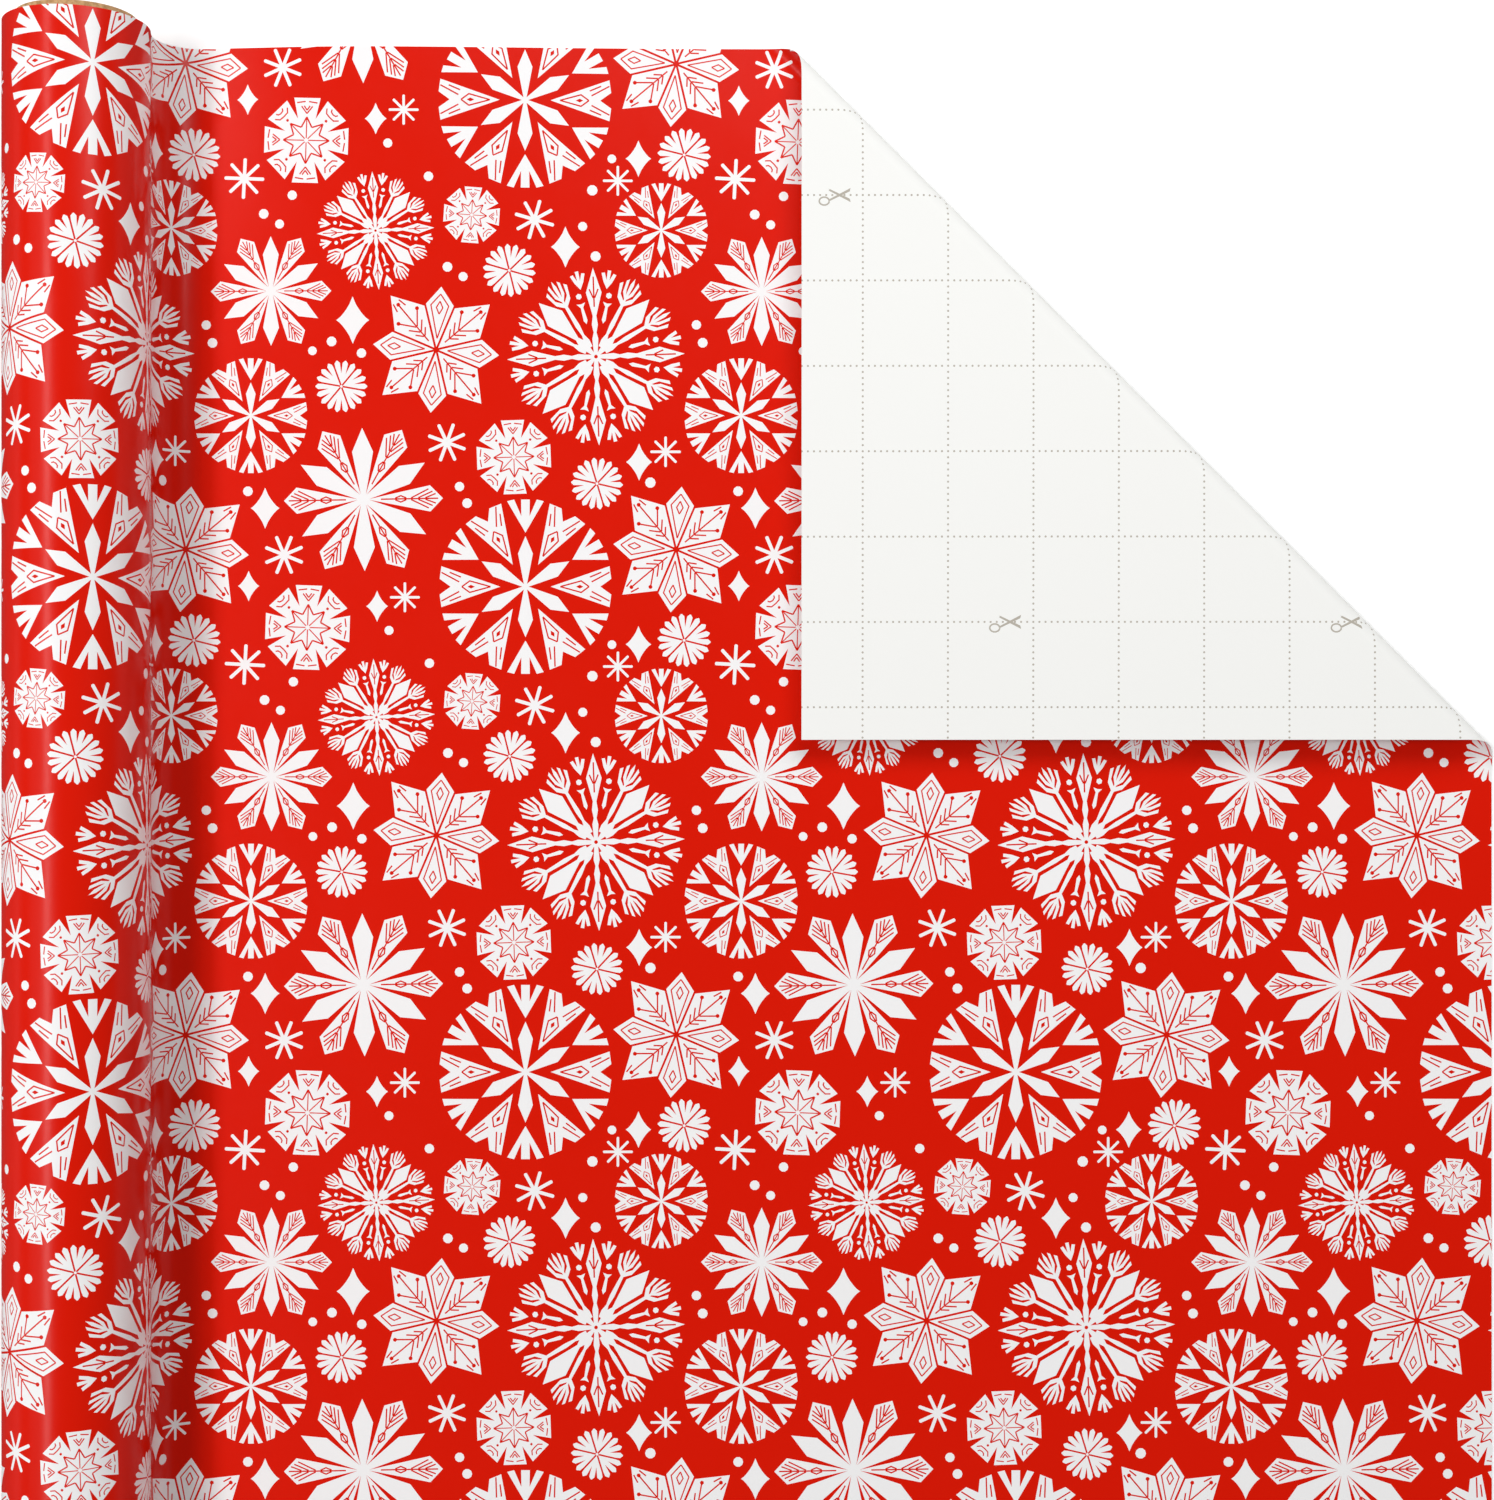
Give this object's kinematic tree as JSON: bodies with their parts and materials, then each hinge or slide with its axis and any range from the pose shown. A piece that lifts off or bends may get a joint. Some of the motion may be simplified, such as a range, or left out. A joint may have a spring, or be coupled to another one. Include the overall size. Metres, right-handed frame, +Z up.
{
  "type": "wrapping paper roll",
  "caption": "Gift wrap wound on a board core, printed with snowflakes, with its sheet drawn off and one corner folded over to show a cutting grid.",
  "frame": {"origin": "bottom centre of the whole object, on the table it lies on", "axes": "+X from the roll across the drawn-off sheet to its leading edge, +Y along the roll's axis, +Z up from the table"},
  "size_m": [0.4419, 0.767, 0.042],
  "materials": {
    "printed_paper": "coated, soft gloss",
    "paper_back": "uncoated matte",
    "core_board": "uncoated chipboard",
    "core_glue": "dried starch glue"
  },
  "bodies": {
    "sheet": {"flat_sheet": "printed_paper", "unrolling_web": "printed_paper"},
    "roll": {"core_inner_ply": "core_board", "core_middle_ply": "core_board", "core_outer_ply": "core_board", "start_glue_line": "core_glue", "wound_paper": "printed_paper"},
    "bend_1": {"corner_bend_1": "paper_back"},
    "bend_2": {"corner_bend_2": "paper_back"},
    "bend_3": {"corner_bend_3": "paper_back"},
    "flap": {"corner_flap": "paper_back"}
  },
  "joints": [
    {"name": "roll_turn", "type": "hinge", "parent": "sheet", "child": "roll", "pos_m": [-0.2, 0, 0.021], "axis": [0, 1, 0], "continuous": true},
    {"name": "corner_open_1", "type": "hinge", "parent": "sheet", "child": "bend_1", "pos_m": [0.11262, 0.27262, 0.00031], "axis": [-0.7071, 0.7071, 0], "range_deg": [0, 45]},
    {"name": "corner_open_2", "type": "hinge", "parent": "bend_1", "child": "bend_2", "pos_m": [0.11457, 0.27457, 0.00306], "axis": [-0.7071, 0.7071, 0], "range_deg": [0, 45]},
    {"name": "corner_open_3", "type": "hinge", "parent": "bend_2", "child": "bend_3", "pos_m": [0.11457, 0.27457, 0.00694], "axis": [-0.7071, 0.7071, 0], "range_deg": [0, 45]},
    {"name": "corner_open_4", "type": "hinge", "parent": "bend_3", "child": "flap", "pos_m": [0.11262, 0.27262, 0.00969], "axis": [-0.7071, 0.7071, 0], "range_deg": [0, 45]}
  ],
  "couplings": [
    {"joint": "corner_open_1", "follows": "corner_open_4", "ratio": 1},
    {"joint": "corner_open_2", "follows": "corner_open_4", "ratio": 1},
    {"joint": "corner_open_3", "follows": "corner_open_4", "ratio": 1}
  ]
}
